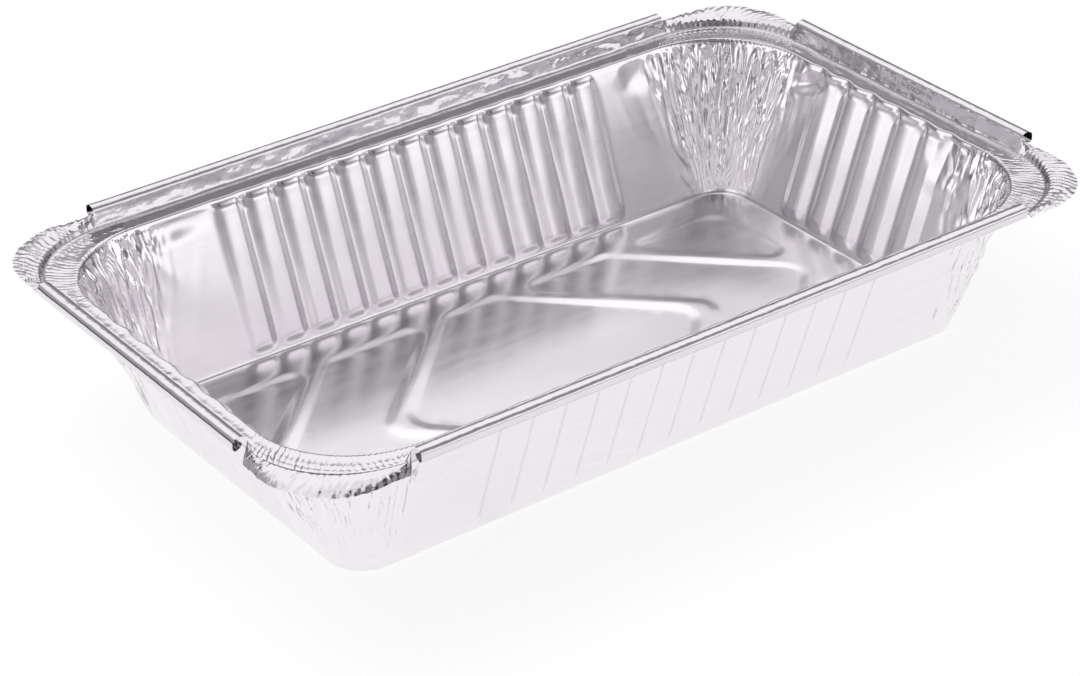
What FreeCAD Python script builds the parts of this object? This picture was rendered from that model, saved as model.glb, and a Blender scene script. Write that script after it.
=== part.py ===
"""Oblong aluminium foil tray, pressed from one sheet of foil.

The tray stands on its floor, with its origin at the middle of its underside, its long side
along X and +Z up. All sizes are in millimetres.

The press forms the whole tray in one stroke. The floor has seven shallow sunk panels, which
stiffen it. The four walls lean outwards and carry upright ribs that bulge towards the food. A
flat ledge runs round the top for a lid. Outside it a flange rises to a hem that is rolled
outwards and down along each straight side, and that stops short of the corners. The foil that
is left over in a corner gathers in pleats, from the floor up over the wall and the ledge to a
crimped free edge.

The sheet is described by its upper face alone, the one that the food touches. Sheet.thicken
then lays the lower face one gauge behind it, and closes the free edge between the two.
"""
import FreeCAD, Part
import math
import os

Vector = FreeCAD.Vector

# Overall sizes, over the hems
LENGTH = 320.0
WIDTH = 200.0
HEIGHT = 62.0
GAUGE = 0.1

# Rim, from the outside in
HEM_WIDTH = 5.0
HEM_RISE = 1.8
HEM_LEG = 2.4
HEM_TUCK = 0.4
HEM_RETURN = 1.2
FLANGE_RUN = 1.5
FLANGE_RISE = 5.7
LEDGE_WIDTH = 7.5
BEAD_RUN = 0.5
BEAD_DROP = 0.9
RIM_RADIUS = 40.0
LEDGE_RADIUS = 36.0

# Walls
WALL_RUN = 19.0
FOOT_RUN = 1.1
FOOT_RISE = 1.0
FLOOR_RADIUS = 12.0

# Upright ribs in the walls
LONG_RIBS = 13
LONG_RIB_PITCH = 12.5
SHORT_RIBS = 5
SHORT_RIB_PITCH = 14.0
RIB_WIDTH = 11.8
RIB_SLOPE = 3.2
RIB_DEPTH = 1.7
RIB_RADIUS = 5.4
RIB_FOOT_GAP = 1.4
RIB_TOP_GAP = 1.6

# Sunk panels in the floor
PANEL_DEPTH = 0.6
PANEL_BEVEL = 3.6
PANEL_RADIUS = 6.0
PANEL_TIP_RADIUS = 11.0
PANEL_MARGIN = 12.0
CENTRE_EDGE = 25.2
TIP_OVERSHOOT = 1.6
BAR_WIDTH = 2.0

# Pleats in the corners: how many, and how far each swings from its mean line
PLEAT_FOLDS = 48
FOOT_SWAY = 0.10
LOWER_SWAY = 0.32
UPPER_SWAY = 0.50
TOP_SWAY = 0.42
LEDGE_SWAY = 0.25
LEDGE_LIFT = 0.06
CREASE_LIFT = 0.18
CRIMP_SWAY = 0.45
CRIMP_LIFT = 0.35
PLEAT_FADE = 3

# Crimped free edge in the corners
CRIMP_INSET = 1.0
CRIMP_RADIUS = 26.0
CRIMP_BEND_RUN = 1.5
CRIMP_BEND_RISE = 2.0
CRIMP_RISE = 0.4

# Facets on round stretches
ARC_STEP = 22.5
RIB_ARC_STEP = 45.0
HEM_STEPS = 6

# Heights and insets that follow from the sizes above
SHOULDER_Z = HEIGHT - HEM_RISE
LEDGE_Z = SHOULDER_Z - FLANGE_RISE
BEAD_Z = LEDGE_Z - BEAD_DROP
FLOOR_Z = GAUGE + PANEL_DEPTH
FOOT_Z = FLOOR_Z + FOOT_RISE
CREASE_INSET = HEM_WIDTH + FLANGE_RUN
LEDGE_INSET = CREASE_INSET + LEDGE_WIDTH
BEAD_INSET = LEDGE_INSET + BEAD_RUN
FOOT_INSET = BEAD_INSET + WALL_RUN
FLOOR_INSET = FOOT_INSET + FOOT_RUN
CREASE_RADIUS = RIM_RADIUS - CREASE_INSET

# Tolerances: places of a shared point, a flat patch, a shared plane, and the share of a
# facet's weight that keeps a point from sliding along a fold
SAME_POINT = 1.0e-5
FLAT_TOLERANCE = 1.0e-7
SAME_PLANE = 1.0e-4
REST_WEIGHT = 0.05


class Sheet:
    """One face of the foil: points, and the flat faces between them."""

    def __init__(self):
        self.points = []
        self.index = {}
        self.faces = []

    def point(self, place):
        """Return the number of the point at a place, added once only."""
        key = tuple(round(distance / SAME_POINT) for distance in place)
        if key not in self.index:
            self.index[key] = len(self.points)
            self.points.append(Vector(place))
        return self.index[key]

    def face(self, outline, holes=()):
        """Add a flat face, its outline counter-clockwise as seen from the food side."""
        loops = [[self.point(place) for place in loop] for loop in [outline, *holes]]
        self.faces.append(loops)

    def patch(self, a, b, c, d):
        """Add a four-sided patch, folded along a diagonal where it isn't flat."""
        normal = (c - a).cross(d - b)
        twist = abs((b - a).dot(normal)) / max(normal.Length, FLAT_TOLERANCE)
        if twist < FLAT_TOLERANCE:
            self.face([a, b, c, d])
        else:
            self.face([a, b, c])
            self.face([a, c, d])

    def normal(self, loops):
        """Return the unit normal of a face."""
        outline = [self.points[number] for number in loops[0]]
        total = Vector()
        for here, after in zip(outline[1:], outline[2:]):
            total += (here - outline[0]).cross(after - outline[0])
        return total.normalize()

    def thicken(self, gauge):
        """Return the closed solid between this face and one that lies a gauge behind it."""
        flat = [[] for _ in self.points]
        folded = [[] for _ in self.points]
        for loops in self.faces:
            normal = self.normal(loops)
            meeting = folded if len(loops[0]) == 3 else flat
            for number in {number for loop in loops for number in loop}:
                meeting[number].append(normal)
        behind = [place + setback(flat[number], folded[number], gauge)
                  for number, place in enumerate(self.points)]
        solid_faces = []
        for loops in self.faces:
            solid_faces.append(flat_face([[self.points[n] for n in loop] for loop in loops]))
            solid_faces.append(flat_face([[behind[n] for n in reversed(loop)] for loop in loops]))
        for start, end in self.free_edges():
            corners = [self.points[end], self.points[start], behind[start], behind[end]]
            solid_faces.append(flat_face([corners[:3]]))
            solid_faces.append(flat_face([[corners[0], corners[2], corners[3]]]))
        shell = Part.makeShell(solid_faces)
        shell.sewShape()
        solid = Part.makeSolid(shell.Shells[0] if shell.Shells else shell)
        if solid.Volume < 0:
            solid.reverse()
        return solid

    def free_edges(self):
        """Return the edges that only one face has, in that face's direction."""
        edges = set()
        for loops in self.faces:
            for loop in loops:
                edges.update(zip(loop, loop[1:] + loop[:1]))
        return [edge for edge in edges if (edge[1], edge[0]) not in edges]


def setback(flat, folded, gauge):
    """Return the step that moves a point a gauge behind the faces that meet in it.

    The step keeps each many-sided face flat, and fits the three-sided facets as well as it can.
    """
    step = Vector()
    fixed = []
    for normal in flat:
        rest = across(normal, fixed)
        if rest.Length > SAME_PLANE:
            rest.normalize()
            step += rest * ((-gauge - normal.dot(step)) / normal.dot(rest))
            fixed.append(rest)
    rows = [[REST_WEIGHT if i == j else 0.0 for j in range(3)] + [0.0] for i in range(3)]
    for normal in folded:
        rest = across(normal, fixed)
        short = gauge + normal.dot(step)
        for i in range(3):
            for j in range(3):
                rows[i][j] += rest[i] * rest[j]
            rows[i][3] -= rest[i] * short
    return step + solve(rows)


def across(direction, fixed):
    """Return what is left of a direction square to the fixed ones."""
    rest = Vector(direction)
    for way in fixed:
        rest -= way * way.dot(rest)
    return rest


def solve(rows):
    """Solve three linear equations, given as rows of three factors and a total."""
    for i in range(3):
        pivot = max(range(i, 3), key=lambda r: abs(rows[r][i]))
        rows[i], rows[pivot] = rows[pivot], rows[i]
        for r in range(3):
            if r != i:
                factor = rows[r][i] / rows[i][i]
                rows[r] = [x - factor * y for x, y in zip(rows[r], rows[i])]
    return Vector(*(rows[i][3] / rows[i][i] for i in range(3)))


def flat_face(loops):
    """Return the flat face inside the first loop and outside the others."""
    wires = [Part.makePolygon(loop + loop[:1]) for loop in loops]
    if len(wires) == 1:
        return Part.Face(wires[0])
    return Part.makeFace(wires, "Part::FaceMakerCheese")


class Outline:
    """A polygon with rounded corners, which can be drawn in by any distance."""

    def __init__(self, corners, radii, step):
        """Take the corners counter-clockwise, with a radius for each."""
        self.nodes = []
        count = len(corners)
        for i, (corner, radius) in enumerate(zip(corners, radii)):
            self.round(corners[i - 1], corner, corners[(i + 1) % count], radius, step)

    def round(self, before, corner, after, radius, step):
        """Add the arc at one corner, as centre, direction, radius and side."""
        way_in = math.atan2(corner[1] - before[1], corner[0] - before[0])
        way_out = math.atan2(after[1] - corner[1], after[0] - corner[0])
        turn = (way_out - way_in + math.pi) % (2 * math.pi) - math.pi
        side = 1 if turn > 0 else -1
        reach = radius * math.tan(abs(turn) / 2)
        start = (corner[0] - reach * math.cos(way_in), corner[1] - reach * math.sin(way_in))
        centre = (start[0] - side * radius * math.sin(way_in),
                  start[1] + side * radius * math.cos(way_in))
        steps = max(1, round(math.degrees(abs(turn)) / step))
        for i in range(steps + 1):
            angle = way_in + turn * i / steps - side * math.pi / 2
            self.nodes.append((centre, (math.cos(angle), math.sin(angle)), radius, side))

    def drawn_in(self, distance):
        """Return the outline's points, moved inwards by a distance."""
        return [(centre[0] + way[0] * (radius - side * distance),
                 centre[1] + way[1] * (radius - side * distance))
                for centre, way, radius, side in self.nodes]


def press(sheet, outline, place, bevel, depth):
    """Press a panel into the sheet and return its outline, for the hole round it.

    place maps two coordinates and a height above the sheet to a point. A depth below zero
    sinks the panel, and one above zero raises it towards the food.
    """
    rim = [place(x, y, 0.0) for x, y in outline.drawn_in(0.0)]
    top = [place(x, y, depth) for x, y in outline.drawn_in(bevel)]
    count = len(rim)
    for i in range(count):
        j = (i + 1) % count
        sheet.patch(top[i], rim[i], rim[j], top[j])
    sheet.face(top)
    return rim[::-1]


def fade(fold):
    """Return how far the pleats have grown at a fold, from 0 at the straight sides to 1."""
    near = min(fold, PLEAT_FOLDS - fold) / PLEAT_FADE
    return min(1.0, near)


def swing(corner, fold):
    """Return the uneven swing of a fold, to and fro from one fold to the next."""
    unevenness = 0.68 + 0.32 * math.sin(1.9 * fold + 2.3 * corner)
    return (-1) ** fold * unevenness * fade(fold)


def turn(corner, fold):
    """Return the angle of a fold about its corner, with uneven steps between folds."""
    unevenness = 0.22 * math.sin(2.7 * fold + 1.1 * corner) * fade(fold)
    return math.radians(90.0 * (corner + (fold + unevenness) / PLEAT_FOLDS))


class Ring:
    """One level line of the sheet, round all four sides and corners."""

    def __init__(self, inset, z, radius, sway=0.0, lift=0.0):
        self.inset = inset
        self.z = z
        self.radius = radius
        self.sway = sway
        self.lift = lift

    def between(self, other, share, sway):
        """Return the ring that lies a share of the way to another one."""
        inset = self.inset + share * (other.inset - self.inset)
        z = self.z + share * (other.z - self.z)
        radius = self.radius + share * (other.radius - self.radius)
        return Ring(inset, z, radius, sway)

    def at(self, corner, fold, out=0.0, up=0.0):
        """Return the point at a fold of a corner, moved out and up where it is asked to."""
        sign_x = 1 if corner in (0, 3) else -1
        sign_y = 1 if corner in (0, 1) else -1
        centre_x = sign_x * (LENGTH / 2 - self.inset - self.radius)
        centre_y = sign_y * (WIDTH / 2 - self.inset - self.radius)
        angle = turn(corner, fold)
        reach = self.radius + self.sway * swing(corner, fold) + out
        z = self.z + self.lift * swing(corner, fold) + up
        return Vector(centre_x + reach * math.cos(angle), centre_y + reach * math.sin(angle), z)

    def side(self, corner):
        """Return the two ends of the straight side that follows a corner."""
        return self.at(corner, PLEAT_FOLDS), self.at((corner + 1) % 4, 0)


def straight_strip(sheet, inner, outer):
    """Add the four straight stretches between two rings."""
    for corner in range(4):
        inner_start, inner_end = inner.side(corner)
        outer_start, outer_end = outer.side(corner)
        sheet.patch(inner_start, outer_start, outer_end, inner_end)


def pleated_strip(sheet, inner, outer):
    """Add the pleated stretches between two rings, in all four corners."""
    for corner in range(4):
        for fold in range(PLEAT_FOLDS):
            a = inner.at(corner, fold)
            b = outer.at(corner, fold)
            c = outer.at(corner, fold + 1)
            d = inner.at(corner, fold + 1)
            fold_patch(sheet, a, b, c, d, fold)


def fold_patch(sheet, a, b, c, d, fold):
    """Add one patch between two folds as two facets, the diagonal turned on every other one."""
    if fold % 2:
        sheet.face([a, b, c])
        sheet.face([a, c, d])
    else:
        sheet.face([b, c, d])
        sheet.face([b, d, a])


def add_floor(sheet, edge):
    """Add the floor inside its edge ring, with its seven sunk panels.

    Two raised bars cross each half of the floor slantwise, between the panels. The inner pair
    ends at the middle panel's long edges, and the outer pair just beyond the ends of the panels.
    """
    half_x = LENGTH / 2 - FLOOR_INSET - PANEL_MARGIN
    half_y = WIDTH / 2 - FLOOR_INSET - PANEL_MARGIN
    half_bar = BAR_WIDTH / 2 * math.sqrt(2)
    inner_bar = half_y + CENTRE_EDGE / 2
    outer_bar = half_x + TIP_OVERSHOOT
    holes = []
    for corners, radii in (
        centre_panel(inner_bar - half_bar, half_y),
        *chevron_panels(inner_bar + half_bar, outer_bar - half_bar, half_y),
        *corner_panels(outer_bar + half_bar, half_x, half_y),
    ):
        outline = Outline(corners, radii, ARC_STEP)
        holes.append(press(sheet, outline, on_floor, PANEL_BEVEL, -PANEL_DEPTH))
    rim = [edge.at(corner, fold) for corner in range(4) for fold in range(PLEAT_FOLDS + 1)]
    sheet.face(rim, holes)


def on_floor(x, y, height):
    """Return the point of the floor at x and y."""
    return Vector(x, y, FLOOR_Z + height)


def centre_panel(tip, half_y):
    """Return the six corners of the middle panel, and their radii."""
    top = tip - half_y
    corners = [(tip, 0), (top, half_y), (-top, half_y), (-tip, 0), (-top, -half_y), (top, -half_y)]
    radii = [PANEL_TIP_RADIUS, PANEL_RADIUS, PANEL_RADIUS] * 2
    return corners, radii


def chevron_panels(inner, outer, half_y):
    """Return the arrow-shaped panels that point to the two ends."""
    corners = [(outer, 0), (outer - half_y, half_y), (inner - half_y, half_y),
               (inner, 0), (inner - half_y, -half_y), (outer - half_y, -half_y)]
    radii = [PANEL_TIP_RADIUS, PANEL_RADIUS, PANEL_RADIUS,
             PANEL_RADIUS, PANEL_RADIUS, PANEL_RADIUS]
    return (corners, radii), ([(-x, -y) for x, y in corners], radii)


def corner_panels(bar, half_x, half_y):
    """Return the four three-sided panels in the corners of the floor."""
    panels = []
    for sign_x in (1, -1):
        for sign_y in (1, -1):
            corners = [(bar - half_y, half_y), (half_x, bar - half_x), (half_x, half_y)]
            corners = [(sign_x * x, sign_y * y) for x, y in corners]
            radii = [PANEL_RADIUS, PANEL_RADIUS, PANEL_TIP_RADIUS]
            if sign_x * sign_y < 0:
                corners.reverse()
                radii.reverse()
            panels.append((corners, radii))
    return panels


def add_walls(sheet, foot, lower, upper, bead):
    """Add the four straight walls, each with its row of upright ribs."""
    for corner in range(4):
        levels = [foot, lower, upper, bead]
        start = [ring.side(corner)[0] for ring in levels]
        end = [ring.side(corner)[1] for ring in levels]
        along = (end[0] - start[0]).normalize()
        foot_middle = (start[0] + end[0]) / 2
        bead_middle = (start[-1] + end[-1]) / 2
        up = (bead_middle - foot_middle).normalize()
        height = (bead_middle - foot_middle).Length
        inward = up.cross(along)

        def on_wall(v, u, raised):
            return foot_middle + along * u + up * v + inward * raised

        is_long = corner % 2 == 0
        count = LONG_RIBS if is_long else SHORT_RIBS
        pitch = LONG_RIB_PITCH if is_long else SHORT_RIB_PITCH
        holes = []
        for number in range(count):
            middle = (number - (count - 1) / 2) * pitch
            outline = rib_outline(middle, RIB_FOOT_GAP, height - RIB_TOP_GAP)
            holes.append(press(sheet, outline, on_wall, RIB_SLOPE, RIB_DEPTH))
        sheet.face(start + end[::-1], holes)


def rib_outline(middle, bottom, top):
    """Return the round-ended outline of one rib, as heights up the wall and places along it."""
    left = middle - RIB_WIDTH / 2
    right = middle + RIB_WIDTH / 2
    corners = [(bottom, left), (top, left), (top, right), (bottom, right)]
    return Outline(corners, [RIB_RADIUS] * 4, RIB_ARC_STEP)


def hem_profile():
    """Return the insets and heights of the rolled hem, from the flange round to its free edge."""
    profile = []
    for step in range(1, HEM_STEPS + 1):
        angle = math.pi * (1 - step / HEM_STEPS)
        inset = HEM_WIDTH / 2 * (1 - math.cos(angle))
        profile.append((inset, SHOULDER_Z + HEM_RISE * math.sin(angle)))
    leg_z = SHOULDER_Z - HEM_LEG
    profile.append((HEM_TUCK, leg_z))
    profile.append((HEM_TUCK + HEM_RETURN, leg_z + HEM_TUCK))
    return profile


def add_hems(sheet, shoulder):
    """Add the rolled hem along each straight side."""
    previous = shoulder
    for inset, z in hem_profile():
        ring = Ring(inset, z, RIM_RADIUS - inset)
        straight_strip(sheet, previous, ring)
        previous = ring


def add_crimped_edges(sheet, crease, shoulder):
    """Add the flange in the corners: bent out, pleated, and crimped to a free edge."""
    for corner in range(4):
        for fold in range(PLEAT_FOLDS):
            inner = [crease.at(corner, fold), crease.at(corner, fold + 1)]
            bend = [bend_point(shoulder, corner, fold), bend_point(shoulder, corner, fold + 1)]
            edge = [edge_point(shoulder, corner, fold), edge_point(shoulder, corner, fold + 1)]
            fold_patch(sheet, inner[0], bend[0], bend[1], inner[1], fold)
            if fold == 0:
                sheet.face([bend[0], edge[1], bend[1]])
            elif fold == PLEAT_FOLDS - 1:
                sheet.face([bend[0], edge[0], bend[1]])
            else:
                fold_patch(sheet, bend[0], edge[0], edge[1], bend[1], fold)


def bend_point(shoulder, corner, fold):
    """Return the point where the flange of a corner bends outwards."""
    grown = fade(fold)
    return shoulder.at(corner, fold, out=grown * (CRIMP_BEND_RUN - FLANGE_RUN),
                       up=grown * (CRIMP_BEND_RISE - FLANGE_RISE))


def edge_point(shoulder, corner, fold):
    """Return the point of the crimped free edge at a fold."""
    grown = fade(fold)
    swung = swing(corner, fold)
    out = grown * (crimp_reach(turn(corner, fold)) - shoulder.radius) + CRIMP_SWAY * swung
    up = grown * (CRIMP_BEND_RISE - FLANGE_RISE + CRIMP_RISE) + CRIMP_LIFT * swung
    return shoulder.at(corner, fold, out=out, up=up)


def crimp_reach(angle):
    """Return how far out from the middle of the rim's arc the crimped edge lies."""
    along_x, along_y = abs(math.cos(angle)), abs(math.sin(angle))
    straight = RIM_RADIUS - CRIMP_INSET
    offset = straight - CRIMP_RADIUS
    reach = straight / max(along_x, along_y)
    if reach * min(along_x, along_y) > offset:
        middle = offset * (along_x + along_y)
        reach = middle + math.sqrt(middle ** 2 - 2 * offset ** 2 + CRIMP_RADIUS ** 2)
    return reach


def foil_tray():
    """Return the whole tray as one solid."""
    floor_edge = Ring(FLOOR_INSET, FLOOR_Z, FLOOR_RADIUS)
    foot = Ring(FOOT_INSET, FOOT_Z, FLOOR_RADIUS + FOOT_RUN, FOOT_SWAY)
    bead = Ring(BEAD_INSET, BEAD_Z, LEDGE_RADIUS - BEAD_RUN, TOP_SWAY)
    lower = foot.between(bead, 1 / 3, LOWER_SWAY)
    upper = foot.between(bead, 2 / 3, UPPER_SWAY)
    ledge = Ring(LEDGE_INSET, LEDGE_Z, LEDGE_RADIUS, LEDGE_SWAY, LEDGE_LIFT)
    crease = Ring(CREASE_INSET, LEDGE_Z, CREASE_RADIUS, 0.0, CREASE_LIFT)
    shoulder = Ring(HEM_WIDTH, SHOULDER_Z, RIM_RADIUS - HEM_WIDTH, CRIMP_SWAY)

    sheet = Sheet()
    add_floor(sheet, floor_edge)
    add_walls(sheet, foot, lower, upper, bead)
    for inner, outer in ((floor_edge, foot), (bead, ledge), (ledge, crease), (crease, shoulder)):
        straight_strip(sheet, inner, outer)
    for inner, outer in ((floor_edge, foot), (foot, lower), (lower, upper), (upper, bead),
                         (bead, ledge), (ledge, crease)):
        pleated_strip(sheet, inner, outer)
    add_hems(sheet, shoulder)
    add_crimped_edges(sheet, crease, shoulder)
    return sheet.thicken(GAUGE)


def main():
    """Build the tray and write it to its file."""
    os.makedirs("parts", exist_ok=True)
    tray = foil_tray()
    box = tray.BoundBox
    print("valid", tray.isValid(), "faces", len(tray.Faces), "volume", round(tray.Volume, 1))
    print("size", round(box.XLength, 3), round(box.YLength, 3), round(box.ZLength, 3))
    tray.exportStep("parts/foil_tray.step")


main()
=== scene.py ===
"""Looks of the oblong aluminium foil tray.

The tray is one sheet of foil, so it is one mesh here too. The mesh is laid out as the press
forms it: stations stand all the way round the tray, and each part of the section, such as the
wall or the rolled hem, is a grid of levels over them. The floor is filled between the outlines
of its panels. Every length is in metres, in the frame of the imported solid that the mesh
replaces: origin under the middle of the floor, long side along X, +Z up.
"""
from __future__ import annotations

import logging
import math
from dataclasses import dataclass, field
from enum import Enum
from typing import Iterable, Sequence

import bpy
import numpy as np
from mathutils import Matrix, Vector
from mathutils.geometry import delaunay_2d_cdt


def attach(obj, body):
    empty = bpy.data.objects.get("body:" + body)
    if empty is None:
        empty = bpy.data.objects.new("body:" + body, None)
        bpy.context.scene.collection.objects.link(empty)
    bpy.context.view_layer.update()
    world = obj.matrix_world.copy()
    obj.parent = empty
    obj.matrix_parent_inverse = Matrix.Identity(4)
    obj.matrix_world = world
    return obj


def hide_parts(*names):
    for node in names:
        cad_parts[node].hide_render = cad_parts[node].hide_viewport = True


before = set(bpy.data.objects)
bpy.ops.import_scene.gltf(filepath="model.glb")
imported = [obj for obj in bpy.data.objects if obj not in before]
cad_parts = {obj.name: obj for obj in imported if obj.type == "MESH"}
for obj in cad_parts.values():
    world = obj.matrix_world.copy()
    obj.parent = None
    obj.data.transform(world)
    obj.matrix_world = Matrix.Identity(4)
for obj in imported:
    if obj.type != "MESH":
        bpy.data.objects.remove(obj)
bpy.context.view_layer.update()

LOG = logging.getLogger("foil_tray")
MM = 0.001
Array = np.ndarray


def blend(low: float, high: float, value: Array | float) -> Array:
    """Return a smooth step from 0 at low to 1 at high."""
    share = np.clip((np.asarray(value, dtype=float) - low) / (high - low), 0.0, 1.0)
    return share * share * (3.0 - 2.0 * share)


def zigzag(phase: Array) -> Array:
    """Return a wave of straight folds between -1 and 1, one period for each whole phase."""
    return 4.0 * np.abs(phase - np.floor(phase) - 0.5) - 1.0


def ramp(share: Array, soft: float = 0.12) -> Array:
    """Return a straight slope from 0 to 1 over a share from 0 to 1, rounded at both ends.

    Args:
        share: Share of the way along the slope, at any number of places.
        soft: Share of the slope over which each end is rounded.

    Returns:
        The slope's height at each place.
    """
    def bend(value: Array) -> Array:
        """Return 0 below 0 and the value itself above, rounded between the two."""
        round_part = (np.clip(value, -soft, soft) + soft) ** 2 / (4.0 * soft)
        return np.where(value > soft, value, round_part)
    return bend(np.asarray(share, dtype=float)) - bend(np.asarray(share, dtype=float) - 1.0)


def quadrant_of(plan: Array) -> Array:
    """Return the number of the corner that each plan point is nearest to, counter-clockwise."""
    right, back = plan[..., 0] > 0, plan[..., 1] > 0
    return np.where(right, np.where(back, 0, 3), np.where(back, 1, 2))


@dataclass(frozen=True)
class TraySizes:
    """Main sizes of the tray, the same as the solid's."""

    length: float = 320 * MM
    width: float = 200 * MM
    height: float = 62 * MM
    hem_width: float = 5.0 * MM
    hem_rise: float = 1.8 * MM
    hem_leg: float = 2.4 * MM
    flange_run: float = 1.5 * MM
    flange_rise: float = 5.7 * MM
    ledge_width: float = 7.5 * MM
    bead_run: float = 0.5 * MM
    bead_drop: float = 0.9 * MM
    rim_radius: float = 40 * MM
    ledge_radius: float = 36 * MM
    wall_run: float = 19 * MM
    foot_run: float = 1.1 * MM
    foot_rise: float = 1.0 * MM
    floor_radius: float = 12 * MM
    floor_z: float = 0.7 * MM

    @property
    def shoulder_z(self) -> float:
        """Height of the hem's inner edge."""
        return self.height - self.hem_rise

    @property
    def ledge_z(self) -> float:
        """Height of the lid ledge."""
        return self.shoulder_z - self.flange_rise

    @property
    def crease_inset(self) -> float:
        """Inset of the crease between the ledge and the flange."""
        return self.hem_width + self.flange_run

    @property
    def ledge_inset(self) -> float:
        """Inset of the ledge's inner edge."""
        return self.crease_inset + self.ledge_width

    @property
    def wall_top_inset(self) -> float:
        """Inset of the wall's upper edge."""
        return self.ledge_inset + self.bead_run

    @property
    def foot_inset(self) -> float:
        """Inset of the wall's lower edge."""
        return self.wall_top_inset + self.wall_run

    @property
    def floor_inset(self) -> float:
        """Inset of the floor's edge."""
        return self.foot_inset + self.foot_run


@dataclass(frozen=True)
class RibRow:
    """A row of upright ribs in the middle of a wall."""

    count: int
    pitch: float
    width: float = 11.8 * MM
    slope: float = 3.2 * MM
    depth: float = 1.7 * MM
    radius: float = 3.8 * MM
    foot_gap: float = 0.7 * MM
    top_gap: float = -1.4 * MM
    softness: float = 0.07

    def middles(self) -> list[float]:
        """Return where the ribs stand along the wall."""
        return [(number - (self.count - 1) / 2) * self.pitch for number in range(self.count)]

    def raised(self, along: Array, up: Array, wall_height: float) -> Array:
        """Return how far the ribs bulge into the tray.

        Args:
            along: Places along the wall.
            up: Heights up the sloping wall, from its foot.
            wall_height: Whole height of the wall along its slope.

        Returns:
            The bulge at each place, square to the wall.
        """
        half_height = (wall_height - self.foot_gap - self.top_gap) / 2
        middle_up = self.foot_gap + half_height
        total = np.zeros(np.broadcast(along, up).shape)
        for middle in self.middles():
            over_x = np.abs(along - middle) - (self.width / 2 - self.radius)
            over_y = np.abs(up - middle_up) - (half_height - self.radius)
            outside = np.hypot(np.maximum(over_x, 0), np.maximum(over_y, 0))
            depth_in = self.radius - outside - np.minimum(np.maximum(over_x, over_y), 0)
            total += self.depth * ramp(depth_in / self.slope, self.softness)
        return total


@dataclass(frozen=True)
class Dent:
    """A soft dent in a wall, or a bulge where its depth is below zero."""

    side: Side
    along: float
    up: float
    reach_along: float
    reach_up: float
    depth: float
    turn: float = 0.0

    def pushed(self, along: Array, up: Array) -> Array:
        """Return how far the dent pushes the wall outwards.

        Args:
            along: Places along the wall.
            up: Heights up the sloping wall, from its foot.

        Returns:
            The push at each place, square to the wall.
        """
        right, above = along - self.along, up - self.up
        cos, sin = math.cos(self.turn), math.sin(self.turn)
        far = np.hypot((right * cos + above * sin) / self.reach_along,
                       (above * cos - right * sin) / self.reach_up)
        return self.depth * (1.0 - blend(0.0, 1.0, far))


class Side(Enum):
    """The four walls, in the order in which they follow the corners."""

    BACK = 0
    LEFT = 1
    FRONT = 2
    RIGHT = 3


class Crumple:
    """Seeded uneven values, the same on every run."""

    SIZE = 256

    def __init__(self, seed: int) -> None:
        """Draw the table of values from a seed."""
        self.table = np.random.default_rng(seed).random((self.SIZE, self.SIZE))

    def at(self, column: Array, row: Array) -> Array:
        """Return the table's values at whole steps, which repeat past its ends."""
        return self.table[column % self.SIZE, row % self.SIZE]

    def soft(self, x: Array | float, y: Array | float) -> Array:
        """Return values between 0 and 1 that change smoothly over whole steps.

        Args:
            x: Places along the table's columns, in steps.
            y: Places along its rows, in steps.

        Returns:
            A value for each place.
        """
        x, y = np.broadcast_arrays(np.asarray(x, dtype=float), np.asarray(y, dtype=float))
        left, low = np.floor(x).astype(int), np.floor(y).astype(int)
        across, above = blend(0.0, 1.0, x - left), blend(0.0, 1.0, y - low)
        low_row = self.at(left, low) * (1 - across) + self.at(left + 1, low) * across
        high_row = self.at(left, low + 1) * (1 - across) + self.at(left + 1, low + 1) * across
        return low_row * (1 - above) + high_row * above

    def ridged(self, x: Array | float, y: Array | float) -> Array:
        """Return values between 0 and 1 with sharp ridges at 1."""
        return 1.0 - np.abs(2.0 * self.soft(x, y) - 1.0)


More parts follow.
